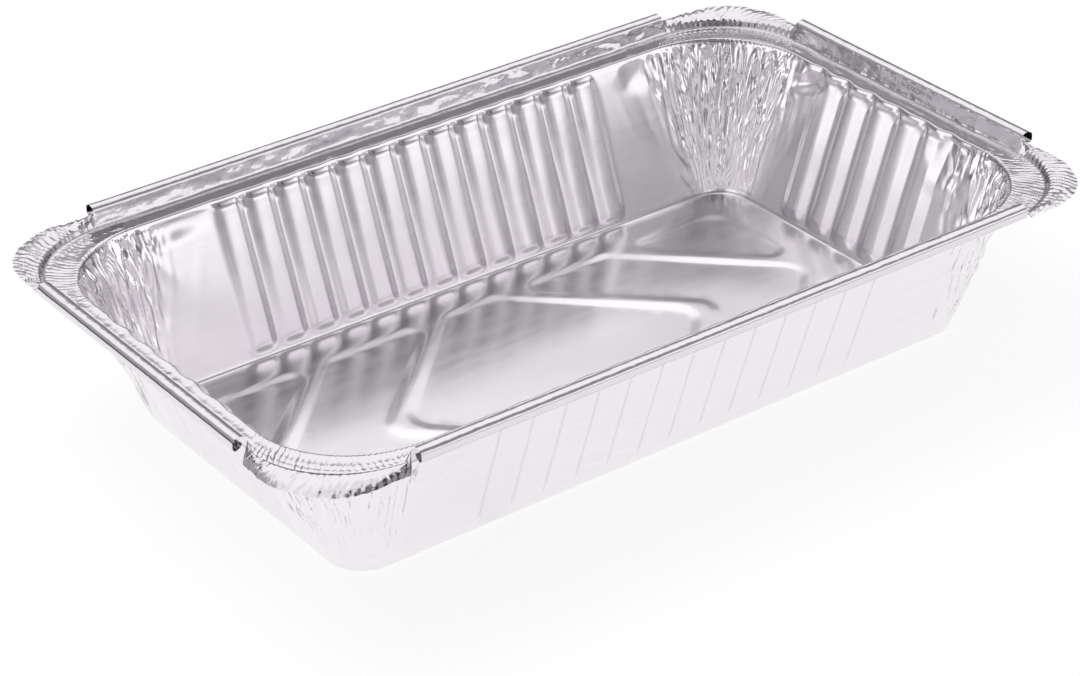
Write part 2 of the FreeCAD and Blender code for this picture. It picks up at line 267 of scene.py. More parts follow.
@dataclass
class Stations:
    """Upright lines round the tray, at which every level of the sheet has a point.

    A station has a nominal place for the middle of its arc, which is the corner's own middle in
    a corner and slides along the side elsewhere, and a way that points outwards.
    """

    sizes: TraySizes
    ribs: dict[Side, RibRow]
    corner_steps: int = 116
    fan_reach: float = 23 * MM
    fan_step: float = 0.85 * MM
    plain_step: float = 2.2 * MM
    slope_shares: tuple[float, ...] = (0.1, 0.5, 0.9, 1.1)
    slide_from: float = 0.8
    place_decimals: int = 6
    half: Array = field(init=False)
    nominal: Array = field(init=False)
    way: Array = field(init=False)
    side: Array = field(init=False)
    corner_span: list[tuple[int, int]] = field(init=False, default_factory=list)
    side_span: list[tuple[int, int]] = field(init=False, default_factory=list)

    def __post_init__(self) -> None:
        """Lay out the corners and sides counter-clockwise, from the right side's back end."""
        inset, radius = self.sizes.ledge_inset, self.sizes.ledge_radius
        self.half = np.array([self.sizes.length, self.sizes.width]) / 2 - inset - radius
        nominal, way, side = [], [], []
        signs = ((1, 1), (-1, 1), (-1, -1), (1, -1))
        for number, sign in enumerate(signs):
            middle = self.half * sign
            angles = np.radians(90 * number + np.linspace(0, 90, self.corner_steps + 1))
            self.corner_span.append((len(nominal), len(nominal) + len(angles)))
            for angle in angles:
                nominal.append(middle)
                way.append((math.cos(angle), math.sin(angle)))
                side.append(-1)
            run = number % 2
            places = self.places(self.half[run], self.ribs[Side(number)])
            if Side(number) in (Side.BACK, Side.LEFT):
                places = places[::-1]
            self.side_span.append((len(nominal) - 1, len(nominal) + len(places) + 1))
            for place in places:
                point = np.array(middle, dtype=float)
                point[run] = place
                nominal.append(point)
                way.append(way[self.corner_span[-1][1] - 1])
                side.append(number)
        self.nominal, self.way, self.side = np.array(nominal), np.array(way), np.array(side)

    def places(self, half: float, ribs: RibRow) -> Array:
        """Return the places of the stations along one side, closest where the form is fine.

        Args:
            half: Half the length of the side, up to where its corners start.
            ribs: The side's row of ribs.

        Returns:
            The places from the negative end to the positive one.
        """
        shares = np.arange(1, int(self.fan_reach / self.fan_step)) * self.fan_step / self.fan_reach
        places = [half - self.fan_reach * share for share in shares]
        for middle in ribs.middles():
            edge = ribs.width / 2
            places += [middle + edge - ribs.slope * share for share in self.slope_shares]
            places += [middle - edge + ribs.slope * share for share in self.slope_shares]
            places.append(middle)
            places += [middle + ribs.pitch / 2, middle - ribs.pitch / 2]
        last = ribs.middles()[-1] + ribs.pitch / 2
        fan_start = half - self.fan_reach
        plain = max(1, round((fan_start - last) / self.plain_step))
        places += list(np.linspace(last, fan_start, plain + 1)[1:])
        both = np.array(places + [-place for place in places])
        return np.unique(np.round(both, self.place_decimals))

    def __len__(self) -> int:
        """Return how many stations there are."""
        return len(self.nominal)

    def middles(self, inset: float, radius: float) -> Array:
        """Return the middles of the stations' arcs for a level.

        Args:
            inset: How far the level lies inside the tray's outline.
            radius: The level's corner radius.

        Returns:
            A plan place for each station.
        """
        half = np.array([self.sizes.length, self.sizes.width]) / 2 - inset - radius
        near_end = blend(self.slide_from, 1.0, np.abs(self.nominal) / self.half)
        return self.nominal + np.sign(self.nominal) * (half - self.half) * near_end

    def line(self, inset: float, radius: float) -> Array:
        """Return the plan of a level line, a point for each station."""
        return self.middles(inset, radius) + self.way * radius

    def along(self) -> Array:
        """Return each station's place along its side, in X or in Y."""
        return np.where(self.side % 2 == 0, self.nominal[:, 0], self.nominal[:, 1])


class SheetMesh:
    """Points and faces of the foil, welded into one mesh."""

    WELD = 0.002 * MM

    def __init__(self) -> None:
        """Start with no points and no faces."""
        self.points: list[Array] = []
        self.flat: list[Array] = []
        self.fan: list[Array] = []
        self.faces: list[Array] = []
        self.count = 0

    def add(self, points: Array, flat: Array, fan: Array, faces: Array) -> None:
        """Add points with their two sets of surface coordinates, and faces between them.

        Args:
            points: Places in the tray's frame.
            flat: Places on the sheet as it was before the press, with the rim's share.
            fan: Pleat direction, height and weight at each point.
            faces: Rows of point numbers, with -1 for the fourth corner of a triangle.
        """
        self.points.append(points.reshape(-1, 3))
        self.flat.append(flat.reshape(-1, 3))
        self.fan.append(fan.reshape(-1, 3))
        self.faces.append(np.where(faces >= 0, faces + self.count, -1))
        self.count += len(self.points[-1])

    def add_grid(self, points: Array, flat: Array, fan: Array, closed: bool) -> None:
        """Add a grid of levels over stations.

        Args:
            points: Places in the tray's frame, by level and station.
            flat: Places on the sheet before the press, with the rim's share.
            fan: Pleat direction, height and weight.
            closed: Whether the grid goes all the way round.
        """
        levels, columns = points.shape[:2]
        lines = np.arange(columns if closed else columns - 1)
        low, here = np.meshgrid(np.arange(levels - 1) * columns, lines, indexing="ij")
        after = (here + 1) % columns
        faces = np.stack([low + here, low + columns + here, low + columns + after, low + after], -1)
        self.add(points, flat, fan, faces.reshape(-1, 4))

    def build(self, name: str) -> bpy.types.Object:
        """Weld the parts into one object.

        Args:
            name: Name of the object and its mesh.

        Returns:
            The object, linked to the scene.
        """
        points, faces = np.concatenate(self.points), np.concatenate(self.faces)
        keys = np.round(points / self.WELD).astype(np.int64)
        _, first, number = np.unique(keys, axis=0, return_index=True, return_inverse=True)
        number = np.append(number.ravel(), -1)
        loops = []
        for face in number[faces].tolist():
            loop = [p for p, before in zip(face, face[-1:] + face[:-1]) if p >= 0 and p != before]
            if len(set(loop)) > 2:
                loops.append(loop)
        mesh = bpy.data.meshes.new(name)
        mesh.from_pydata(points[first].tolist(), [], loops)
        mesh.validate()
        for title, values in (("sheet", self.flat), ("fan", self.fan)):
            layer = mesh.attributes.new(title, "FLOAT_VECTOR", "POINT")
            layer.data.foreach_set("vector", np.concatenate(values)[first].ravel())
        mesh.shade_smooth()
        piece = bpy.data.objects.new(name, mesh)
        bpy.context.scene.collection.objects.link(piece)
        return piece


@dataclass
class Pleats:
    """The foil gathered in a corner, which fans out from the floor's corner."""

    sizes: TraySizes
    crumple: Crumple
    depth: float = 1.15 * MM
    fine_depth: float = 0.24 * MM
    drape_depth: float = 2.0 * MM
    folds: float = 8.0
    overlap: float = 30.0
    feather: float = 26.0
    ledge_fold: float = 2.9

    def turn(self, plan: Array) -> Array:
        """Return the angle of plan points about the middle of their floor corner, in degrees.

        Args:
            plan: Plan places.

        Returns:
            The angles.
        """
        reach = self.sizes.floor_inset + self.sizes.floor_radius
        middle = np.array([self.sizes.length, self.sizes.width]) / 2 - reach
        offset = np.abs(plan) - middle
        return np.degrees(np.arctan2(offset[..., 1], offset[..., 0]))

    def weight(self, angle: Array, spread: float = 1.0) -> Array:
        """Return how strongly the foil is gathered at an angle, from 0 to 1."""
        over = self.overlap * spread
        return blend(-over, -over * 0.12, angle) * blend(90 + over, 90 + over * 0.12, angle)

    def wall(self, plan: Array, share: Array, corner: Array) -> Array:
        """Return how far the pleats raise the wall.

        Args:
            plan: Plan places on the wall.
            share: Height of each place as a share of the wall's.
            corner: Number of the corner that each place belongs to.

        Returns:
            The rise towards the food at each place.
        """
        angle = self.turn(plan)
        seed = 37.0 * corner
        feathers = self.crumple.soft(angle / 6 + seed + 21, share * 3.3) - 0.5
        edge = angle + self.feather * feathers * np.sign(angle - 45)
        drift = 1.6 * self.crumple.soft(angle / 13 + seed, share * 2.2)
        drift += 0.7 * self.crumple.soft(angle / 5 + seed, share * 6)
        swing = 0.8 * zigzag(angle * self.folds / 90 + drift)
        swing += 0.5 * zigzag(angle * self.folds * 1.7 / 90 + share * 3.1 - drift * 1.4)
        swing += 0.4 * zigzag(angle * self.folds * 1.9 / 90 - share * 2.6 + drift * 0.8)
        uneven = 0.35 + 1.2 * self.crumple.soft(angle / 6 + seed + 9, share * 4.1)
        fine = self.crumple.ridged(angle / 2.6 + seed, share * 6 + angle / 17) - 0.5
        crush = self.crumple.ridged(angle / 4.4 + seed + 50, share * 10) - 0.5
        drape = self.crumple.ridged(angle / 8.5 + seed + 3, share * 0.7 + 5) - 0.5
        sides = self.weight(edge, 1.6) * (1 - 0.8 * self.weight(angle, 0.2))
        grown = share ** 0.8 * self.weight(edge)
        return (grown * (self.depth * uneven * swing + self.fine_depth * fine)
                + self.fine_depth * 0.35 * crush * grown
                + self.drape_depth * drape * sides * share ** 1.3)

    def ledge(self, angle: Array, depth: float, corner: Array, row: Array | float) -> Array:
        """Return the rise of the small creases that run across the ledge.

        Args:
            angle: Angles about the floor's corner, in degrees.
            depth: Depth of a crease.
            corner: Number of the corner that each place belongs to.
            row: Which level each place is on, as a share of the ledge's levels.

        Returns:
            The rise at each place.
        """
        seed = 53.0 * corner
        drift = 0.8 * self.crumple.soft(angle / 7 + seed, row * 2) - 2.2 * row
        strong = 0.4 + self.crumple.soft(angle / 4 + seed, row * 3) ** 2 * 1.8
        return depth * strong * zigzag(angle / self.ledge_fold + drift) * self.weight(angle, 0.35)


@dataclass
class Basin:
    """The wall with its ribs and pleats, and the ledge, from the floor's edge to the flange."""

    sizes: TraySizes
    stations: Stations
    ribs: dict[Side, RibRow]
    dents: Sequence[Dent]
    crumple: Crumple
    ledge_rows: tuple[tuple[float, float], ...] = (
        (-0.22, -0.52), (-0.02, -0.13), (0.25, 0.12), (0.6, 0.20), (1.0, 0.16), (1.5, 0.02),
        (2.4, -0.02), (3.4, 0.0), (4.1, 0.10), (4.6, 0.02), (5.3, 0.02), (5.8, 0.12),
        (6.3, 0.02), (7.0, -0.02), (7.5, 0.0))
    ledge_fall: float = 0.34 * MM
    ledge_crease: float = 0.16 * MM
    seam_hold: float = 0.55
    wave_depth: float = 0.42 * MM
    wave_length: float = 26 * MM
    notch_depth: float = 1.1 * MM
    notch_half_width: float = 2.4 * MM
    notch_foot: float = 5.5 * MM
    notch_top: float = 0.8 * MM
    bead_reach: float = 1.3 * MM
    bead_fade: float = 6 * MM
    long_bead_wave: float = 0.28 * MM
    short_bead_wave: float = 0.60 * MM
    rim_blend: float = 1 * MM
    fan_radius: float = 30 * MM
    pleats: Pleats = field(init=False)
    wall_height: float = field(init=False)
    levels: Array = field(init=False)

    def __post_init__(self) -> None:
        """Work out the wall's height along its slope, and the levels."""
        s = self.sizes
        self.pleats = Pleats(s, self.crumple)
        self.wall_height = math.hypot(s.wall_run,
                                      s.ledge_z - s.bead_drop - s.floor_z - s.foot_rise)
        self.levels = self.profile()

    def profile(self) -> Array:
        """Return the levels as rows of inset, height, corner radius, and share up the wall.

        Returns:
            A row for each level, from the floor's edge to the flange.
        """
        s = self.sizes
        foot_z, top_z = s.floor_z + s.foot_rise, s.ledge_z - s.bead_drop
        foot_radius = s.floor_radius + s.foot_run
        top_radius = s.ledge_radius - s.bead_run
        rows = [(s.floor_inset, s.floor_z, s.floor_radius, 0.0)]
        for share, rise in ((0.34, 0.10), (0.66, 0.36)):
            rows.append((s.floor_inset - share * s.foot_run, s.floor_z + rise * s.foot_rise,
                         s.floor_radius + share * s.foot_run, 0.0))
        shares = np.concatenate([np.linspace(0, 0.16, 11), np.linspace(0.16, 0.80, 19)[1:],
                                 np.linspace(0.80, 1.0, 15)[1:]])
        for share in shares:
            rows.append((s.foot_inset - share * s.wall_run, foot_z + share * (top_z - foot_z),
                         foot_radius + share * (top_radius - foot_radius), share))
        for run, rise in self.ledge_rows:
            share = max(0.0, run * MM / s.ledge_width)
            fall = self.ledge_fall * (1.0 - share) if run > 0 else 0.0
            rows.append((s.ledge_inset - run * MM, s.ledge_z + rise * MM + fall,
                         s.ledge_radius - share * (s.ledge_radius - s.rim_radius + s.crease_inset),
                         1.0))
        return np.array(rows)

    def normals(self) -> Array:
        """Return the outward and upward parts of each level's normal on the food side.

        Returns:
            A pair for each level.
        """
        run = np.gradient(-self.levels[:, 0])
        rise = np.gradient(self.levels[:, 1])
        length = np.hypot(run, rise)
        return np.stack([-rise / length, run / length], -1)

    def raised(self, plan: Array) -> Array:
        """Return how far each point is raised towards the food by ribs, pleats and dents.

        Args:
            plan: Plan places of the grid, by level and station.

        Returns:
            The rise at each point, square to the section.
        """
        share = self.levels[:, 3][:, None]
        up = share * self.wall_height
        along = self.stations.along()[None, :]
        on_wall = (share > 0) & (share < 1)
        total = self.pleats.wall(plan, share + 0 * along, quadrant_of(plan)) * on_wall
        total = total * (1 - blend(0.9, 1.0, share) * self.seam_hold)
        for side, ribs in self.ribs.items():
            here = self.stations.side == side.value
            total[:, here] += (ribs.raised(along, up, self.wall_height) * on_wall)[:, here]
            total[:, here] -= self.notches(ribs, along, up)[:, here] * on_wall
        for dent in self.dents:
            here = self.stations.side == dent.side.value
            total[:, here] -= (dent.pushed(along, up) * on_wall)[:, here]
        waviness = self.wave_depth * (
            self.crumple.soft(plan[..., 0] / self.wave_length + 3 * share,
                              plan[..., 1] / self.wave_length + 9) - 0.5)
        total += waviness * np.sin(np.pi * share) * on_wall
        return total

    def notches(self, ribs: RibRow, along: Array, up: Array) -> Array:
        """Return the depth of the notch that closes each valley under the ledge.

        Args:
            ribs: The side's row of ribs.
            along: Places along the wall.
            up: Heights up the sloping wall, from its foot.

        Returns:
            The depth at each place, square to the wall.
        """
        total = np.zeros(np.broadcast(along, up).shape)
        for middle in ribs.middles()[:-1]:
            beside = np.abs(along - middle - ribs.pitch / 2) / self.notch_half_width
            below = blend(self.wall_height - self.notch_foot,
                          self.wall_height - self.notch_top, up)
            total += self.notch_depth * np.maximum(0, 1 - beside) * below
        return total

    def bead_wave(self) -> Array:
        """Return how far the ledge's inner edge waves in and out along the stations.

        Returns:
            The wave at each station.
        """
        total = np.zeros(len(self.stations))
        along = self.stations.along()
        for side, ribs in self.ribs.items():
            here = self.stations.side == side.value
            reach = (ribs.count + 0.6) * ribs.pitch / 2
            beside_ribs = blend(reach + self.bead_fade, reach - self.bead_fade, np.abs(along))
            wave = np.cos(2 * np.pi * (along - ribs.middles()[0]) / ribs.pitch)
            uneven = 0.5 + self.crumple.soft(along / (17 * MM) + 20 * side.value, 3.0)
            short = side in (Side.RIGHT, Side.LEFT)
            strength = self.short_bead_wave if short else self.long_bead_wave
            total += np.where(here, -strength * beside_ribs * uneven * wave, 0.0)
        return total

    def points(self) -> tuple[Array, Array, Array]:
        """Return the grid's places, flat places and pleat coordinates.

        Returns:
            The three arrays, each by level and station.
        """
        stations, levels = self.stations, self.levels
        plan = np.stack([stations.line(inset, radius) for inset, _, radius, _ in levels])
        height = np.repeat(levels[:, 1][:, None], len(stations), 1)
        raised = self.raised(plan)
        angle, quadrant = self.pleats.turn(plan), quadrant_of(plan)
        number = np.arange(len(levels))[:, None]
        inner_ledge = (number >= len(levels) - len(self.ledge_rows)) & (number < len(levels) - 1)
        row = number / len(self.ledge_rows)
        raised += self.pleats.ledge(angle, self.ledge_crease, quadrant, row) * inner_ledge
        bead = np.exp(-((levels[:, 0] - self.sizes.ledge_inset) / self.bead_reach) ** 2)[:, None]
        normal = self.normals()
        out = normal[:, :1] * raised + bead * self.bead_wave()[None, :]
        plan = plan + stations.way[None, :, :] * out[..., None]
        height = height + normal[:, 1:] * raised
        step = np.hypot(np.diff(levels[:, 0]), np.diff(levels[:, 1]))
        run = np.concatenate([[0.0], np.cumsum(step)])[:, None]
        reach = self.sizes.floor_radius + run
        floor = stations.middles(self.sizes.floor_inset, self.sizes.floor_radius)
        flat = floor[None] + stations.way[None] * reach[..., None]
        rim = 1.0 - blend(self.sizes.ledge_inset - self.rim_blend,
                          self.sizes.ledge_inset + self.rim_blend, levels[:, 0])
        rim = np.broadcast_to(rim[:, None, None], flat.shape[:2] + (1,))
        flat = np.concatenate([flat, rim], -1)
        fan = np.stack([np.radians(angle) * self.fan_radius + quadrant, run + 0 * angle,
                        self.pleats.weight(angle, 0.8) * (run > 3 * MM)], -1)
        return np.concatenate([plan, height[..., None]], -1), flat, fan

    def add_to(self, sheet: SheetMesh) -> tuple[Array, Array, Array]:
        """Add the grid to the sheet.

        Args:
            sheet: The sheet to add to.

        Returns:
            The grid's places, flat places and pleat coordinates, for the parts that join it.
        """
        points, flat, fan = self.points()
        sheet.add_grid(points, flat, fan, closed=True)
        LOG.info("wall and ledge: %d stations, %d levels", len(self.stations), len(self.levels))
        return points, flat, fan


@dataclass
class Hem:
    """The flange and its hem, rolled outwards and down along each straight side."""

    sizes: TraySizes
    stations: Stations
    crumple: Crumple
    flange_steps: int = 4
    roll_steps: int = 15
    tuck: float = 0.5 * MM
    curl: float = 2.6 * MM
    wave: float = 0.22 * MM
    flange_dents: float = 0.55 * MM

    def profile(self) -> list[tuple[float, float]]:
        """Return insets and heights, from the crease up and round to the tucked edge.

        Returns:
            A pair for each level.
        """
        s = self.sizes
        rows = []
        for step in range(self.flange_steps + 1):
            share = step / self.flange_steps
            rows.append((s.crease_inset - share * s.flange_run, s.ledge_z + share * s.flange_rise))
        for step in range(1, self.roll_steps + 1):
            angle = math.pi * step / self.roll_steps
            rows.append((s.hem_width / 2 * (1 + math.cos(angle)),
                         s.shoulder_z + s.hem_rise * math.sin(angle)))
        leg_z = s.shoulder_z - s.hem_leg
        rows += [(0.0, s.shoulder_z - s.hem_leg * 0.35),
                 (0.08 * MM, s.shoulder_z - s.hem_leg * 0.7), (self.tuck, leg_z),
                 (1.2 * MM, leg_z - 0.1 * MM), (self.curl, leg_z + 0.5 * MM),
                 (3.4 * MM, leg_z + 1.7 * MM)]
        return rows

    def add_to(self, sheet: SheetMesh, edge: Array, edge_flat: Array) -> None:
        """Add the four hems to the sheet.

        Args:
            sheet: The sheet to add to.
            edge: Places of the ledge's outer edge, a point for each station.
            edge_flat: The same edge's places on the sheet before the press.
        """
        for start, end in self.stations.side_span:
            numbers = np.arange(start, end) % len(self.stations)
            rows = []
            for inset, z in self.profile():
                plan = self.stations.line(inset, self.sizes.rim_radius - inset)[numbers]
                rows.append(np.concatenate([plan, np.full((len(numbers), 1), z)], 1))
            points = np.array(rows)
            points[0] = edge[numbers]
            self.ruffle(points, self.stations.way[numbers], numbers)
            run = np.cumsum([0] + [np.linalg.norm(points[i + 1, 0] - points[i, 0])
                                   for i in range(len(rows) - 1)])
            flat = np.repeat(edge_flat[numbers][None], len(rows), 0)
            flat[..., :2] += self.stations.way[numbers][None] * run[:, None, None]
            sheet.add_grid(points, flat, np.zeros(points.shape), closed=False)
        LOG.info("hems: 4 sides")

    def ruffle(self, points: Array, way: Array, numbers: Array) -> None:
        """Move the hem's points a little inwards and down, but not at its ends.

        Args:
            points: Places of one hem, by level and station, changed in place.
            way: The way outwards at each station.
            numbers: The stations' numbers.
        """
        run = np.linalg.norm(points[0] - points[0, :1], axis=1)
        inner = np.minimum(run, run[-1] - run)
        free = blend(0.0, 5 * MM, inner)
        seed = 3.0 * float(numbers[0])
        inward = self.crumple.soft(run / (38 * MM) + seed, 1.5) - 0.5
        inward += 0.35 * (self.crumple.soft(run / (11 * MM) + seed, 4.5) - 0.5)
        down = self.crumple.soft(run / (45 * MM) + seed, 8.5) - 0.5
        rows = np.linspace(0, 1, len(points))[:, None] * 2
        share = np.clip(rows, 0, 1) * free * self.wave
        points[:, :, :2] += (share * np.minimum(inward, 0))[..., None] * way[None]
        points[:, :, 2] -= share * np.abs(down)
        for row in range(1, self.flange_steps):
            dents = self.crumple.soft(run / (5.5 * MM) + seed, row * 0.9 + 20) - 0.5
            dents += 0.5 * (self.crumple.soft(run / (2.4 * MM) + seed, row * 1.7 + 40) - 0.5)
            points[row, :, :2] += (free * dents * self.flange_dents)[:, None] * way


@dataclass
class CrimpedCorner:
    """The flange in a corner: bent outwards, pleated and crimped to a free edge."""

    sizes: TraySizes
    stations: Stations
    crumple: Crumple
    inset: float = 0.9 * MM
    radius: float = 26 * MM
    bend_run: float = 1.5 * MM
    bend_rise: float = 2.2 * MM
    edge_rises: tuple[float, ...] = (1.5 * MM, 0.9 * MM, -2.2 * MM, 0.3 * MM)
    swings: tuple[float, ...] = (0.40 * MM, 0.42 * MM, 0.20 * MM, 0.42 * MM)
    slant: float = 1.6
    grow: float = 5.0
    fold_width: float = 3.7
    lap: float = 0.7
    curl: float = 0.8 * MM
    crush: float = 0.2 * MM
    edge_raggedness: float = 0.7 * MM
    edge_wave: float = 1.2 * MM
    unfolded: float = 13 * MM
    fan_radius: float = 40 * MM
    flange_steps: int = 4
    edge_steps: int = 10

    def reach(self, angle: Array) -> Array:
        """Return how far the crimped edge lies from the middle of the rim's arc.

        Args:
            angle: Angles about that middle, in radians.

        Returns:
            The distance at each angle.
        """
        along_x, along_y = np.abs(np.cos(angle)), np.abs(np.sin(angle))
        straight = self.sizes.rim_radius - self.inset
        offset = straight - self.radius
        direct = straight / np.maximum(along_x, along_y)
        middle = offset * (along_x + along_y)
        rounded = middle + np.sqrt(np.maximum(middle ** 2 - 2 * offset ** 2 + self.radius ** 2, 0))
        return np.where(direct * np.minimum(along_x, along_y) > offset, rounded, direct)

    def add_to(self, sheet: SheetMesh, edge: Array, edge_flat: Array) -> None:
        """Add the four corners to the sheet.

        Args:
            sheet: The sheet to add to.
            edge: Places of the ledge's outer edge, a point for each station.
            edge_flat: The same edge's places on the sheet before the press.
        """
        s = self.sizes
        for number, (start, end) in enumerate(self.stations.corner_span):
            numbers = np.arange(start, end)
            way = self.stations.way[numbers]
            degrees = np.linspace(0, 90, len(numbers))
            grown = blend(0, self.grow, np.minimum(degrees, 90 - degrees))
            middle = self.stations.middles(s.hem_width, s.rim_radius - s.hem_width)[numbers]
            shoulder = s.rim_radius - s.hem_width
            crease = s.rim_radius - s.crease_inset
            low = s.ledge_z + s.flange_rise + grown * (self.bend_rise - s.flange_rise)
            bend = crease + s.flange_run + grown * (self.bend_run - s.flange_run)
            out = shoulder + grown * (self.reach(np.radians(degrees)) - shoulder)
            edge_uneven, lean = self.edge(degrees, number)
            swing = self.swings[number]
            rows = [edge[numbers]]
            fold = self.fold(degrees, number, 0.0)
            for step in range(1, self.flange_steps + 1):
                share = step / self.flange_steps
                reach = crease + share * (bend - crease) + grown * share * 0.5 * swing * fold
                z = s.ledge_z + share * (low - s.ledge_z)
                rows.append(self.row(middle, way, reach, z))
            for step in range(1, self.edge_steps + 1):
                share = step / self.edge_steps
                curl = math.sin(math.pi * share) * self.curl
                crush = self.crumple.ridged(degrees / 2.1 + 90 * number, share * 3.4) - 0.5
                fold = self.fold(degrees, number, share)
                swung = (1.0 - 0.45 * share) * swing * fold + self.crush * crush
                reach = bend + share * (out - bend) + grown * share * edge_uneven
                z = (low + grown * (share * self.edge_rises[number] + curl * 0.6 + swung)
                     + grown * share ** 2 * lean)
                rows.append(self.row(middle, way, reach, z))
            points = np.array(rows)
            run = np.linspace(0, self.unfolded, len(rows))
            flat = np.repeat(edge_flat[numbers][None], len(rows), 0)
            flat[..., :2] += way[None] * run[:, None, None]
            fan = np.zeros(points.shape)
            fan[..., 0] = np.radians(degrees)[None] * self.fan_radius + number
            fan[..., 1] = run[:, None]
            fan[..., 2] = grown[None]
            sheet.add_grid(points, flat, fan, closed=False)
        LOG.info("crimped corners: 4")

    def row(self, middle: Array, way: Array, reach: Array, z: Array | float) -> Array:
        """Return one level's points, at a distance from the arc's middle and a height."""
        plan = middle + way * np.asarray(reach)[:, None]
        return np.concatenate([plan, np.broadcast_to(z, len(way))[:, None]], 1)

    def fold(self, degrees: Array, number: int, share: float) -> Array:
        """Return the swing of the lapped folds.

        Args:
            degrees: Angles round the corner.
            number: Number of the corner.
            share: Share of the way from the bend to the free edge.

        Returns:
            The swing at each angle, about between -1 and 1.
        """
        seed = 61.0 * number
        drift = 1.3 * self.crumple.soft(degrees / 8 + seed, 0.5 + share * 1.5)
        phase = degrees / self.fold_width + drift + self.slant * share
        saw = phase - np.floor(phase)
        lapped = np.where(saw < self.lap, saw / self.lap, (1 - saw) / (1 - self.lap)) * 2 - 1
        return lapped * (0.45 + 1.1 * self.crumple.soft(degrees / 4 + seed, 2.5 + share * 2))

    def edge(self, degrees: Array, number: int) -> tuple[Array, Array]:
        """Return the free edge's unevenness.

        Args:
            degrees: Angles round the corner.
            number: Number of the corner.

        Returns:
            How far the edge stands out, and how it waves up and down.
        """
        seed = 61.0 * number
        out = self.edge_raggedness * (self.crumple.soft(degrees / 2.3 + seed, 5.5) - 0.9)
        wave = self.edge_wave * (self.crumple.soft(degrees / 11 + seed, 7.5) - 0.6)
        return out, wave


@dataclass(frozen=True)
class PanelOutline:
    """A panel's outline: corners with their radii, which can be drawn in by any distance."""

    corners: tuple[tuple[float, float], ...]
    radii: tuple[float, ...]
    arc_step: float = 11.0
    run_step: float = 2.6 * MM

    def ring(self, distance: float) -> Array:
        """Return the outline, drawn in by a distance.

        Args:
            distance: How far to draw it in, or out where it is below zero.

        Returns:
            Its points, counter-clockwise.
        """
        arcs, runs, count = [], [], len(self.corners)
        for number, (corner, radius) in enumerate(zip(self.corners, self.radii)):
            before, after = self.corners[number - 1], self.corners[(number + 1) % count]
            way_in = math.atan2(corner[1] - before[1], corner[0] - before[0])
            way_out = math.atan2(after[1] - corner[1], after[0] - corner[0])
            turn = (way_out - way_in + math.pi) % (2 * math.pi) - math.pi
            side = 1 if turn > 0 else -1
            back = radius * math.tan(abs(turn) / 2)
            middle = (corner[0] - back * math.cos(way_in) - side * radius * math.sin(way_in),
                      corner[1] - back * math.sin(way_in) + side * radius * math.cos(way_in))
            steps = max(2, round(math.degrees(abs(turn)) / self.arc_step))
            angles = way_in - side * math.pi / 2 + turn * np.arange(steps + 1) / steps
            reach = radius - side * distance
            arcs.append(np.array(middle) + reach * np.stack([np.cos(angles), np.sin(angles)], -1))
            runs.append(math.dist(corner, after))
        ring = []
        for number, arc in enumerate(arcs):
            start, end = arc[-1], arcs[(number + 1) % count][0]
            steps = max(2, round(runs[number] / self.run_step))
            shares = np.arange(1, steps)[:, None] / steps
            ring += [arc, start + (end - start) * shares]
        return np.concatenate(ring)


